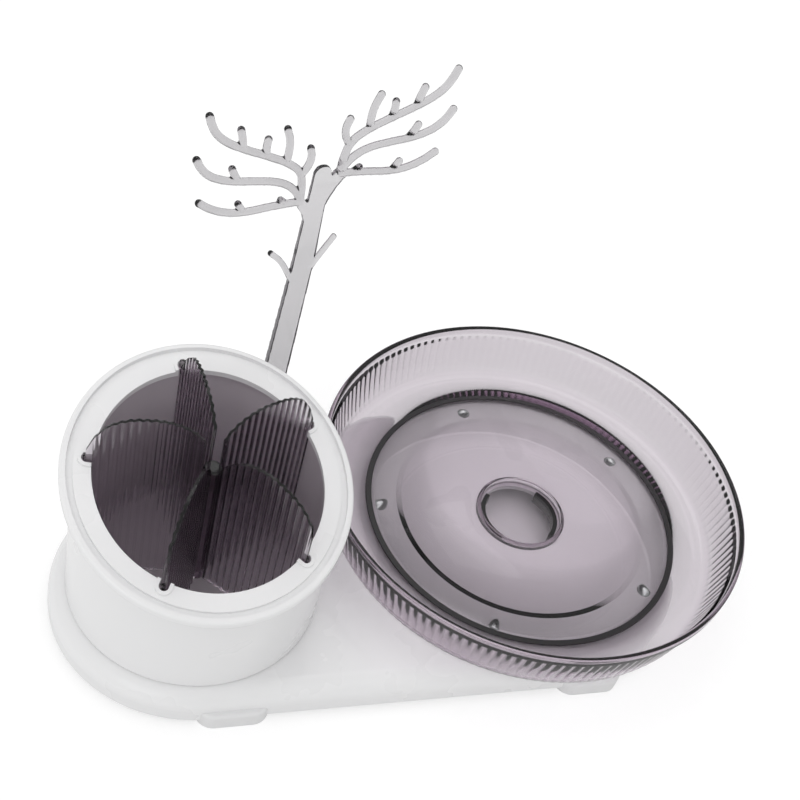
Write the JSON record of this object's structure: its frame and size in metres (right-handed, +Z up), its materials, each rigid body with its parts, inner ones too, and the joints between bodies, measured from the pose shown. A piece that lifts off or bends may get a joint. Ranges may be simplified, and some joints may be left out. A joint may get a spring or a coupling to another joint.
{
  "type": "rotating makeup organizer",
  "caption": "Teardrop base with a slanted brush cup and a round tray that each spin, a lift-out fluted divider, and a pull-out jewelry tree.",
  "frame": {"origin": "on the table, at the middle of the overall length and width", "axes": "+X from the cup to the tray, +Y to the back, where the tree stands, +Z up"},
  "size_m": [0.3508, 0.22, 0.2464],
  "materials": {
    "white_plastic": "glossy white",
    "white_foot": "satin white",
    "smoky_plastic": "clear smoky mauve",
    "dark_smoky_plastic": "dark smoky translucent",
    "clear_grey_plastic": "clear grey",
    "dark_plastic": "dark smoky",
    "ball": "polished ball",
    "steel": "zinc plated"
  },
  "bodies": {
    "base": {"base_shell": "white_plastic", "base_bottom_cover": "white_plastic", "cover_screws": "steel", "foot_front_cup_end": "white_foot", "foot_back_cup_end": "white_foot", "foot_front_tray_end": "white_foot", "foot_back_tray_end": "white_foot", "tray_bearing_balls": "ball", "cup_bearing_balls": "ball"},
    "tray": {"tray": "smoky_plastic", "tray_floor_ring": "dark_plastic", "tray_snap_clips": "dark_plastic"},
    "cup": {"cup_housing": "white_plastic", "mouth_collar": "white_plastic", "inner_cup": "smoky_plastic", "cup_pivot_washer": "steel", "cup_pivot_screw": "steel"},
    "divider": {"divider_column": "dark_smoky_plastic", "divider_blade_1": "dark_smoky_plastic", "divider_blade_2": "dark_smoky_plastic", "divider_blade_3": "dark_smoky_plastic", "divider_blade_4": "dark_smoky_plastic", "divider_blade_5": "dark_smoky_plastic"},
    "tree": {"tree_trunk": "clear_grey_plastic", "tree_left_upper_branch": "clear_grey_plastic", "tree_left_middle_branch": "clear_grey_plastic", "tree_left_lower_branch": "clear_grey_plastic", "tree_right_upper_branch": "clear_grey_plastic", "tree_right_middle_branch": "clear_grey_plastic", "tree_right_lower_branch": "clear_grey_plastic", "tree_left_twig": "clear_grey_plastic", "tree_right_twig": "clear_grey_plastic"}
  },
  "joints": [
    {"name": "tray_spin", "type": "hinge", "parent": "base", "child": "tray", "pos_m": [0.06545, 0, 0.0204], "axis": [0, 0, 1], "continuous": true},
    {"name": "cup_spin", "type": "hinge", "parent": "base", "child": "cup", "pos_m": [-0.10995, 0, 0.0189], "axis": [0, 0, 1], "continuous": true},
    {"name": "divider_lift", "type": "slide", "parent": "cup", "child": "divider", "axis": [0, 0, 1], "range_m": [0, 0.086]},
    {"name": "tree_pull_out", "type": "slide", "parent": "base", "child": "tree", "axis": [0, 0, 1], "range_m": [0, 0.0095]}
  ]
}
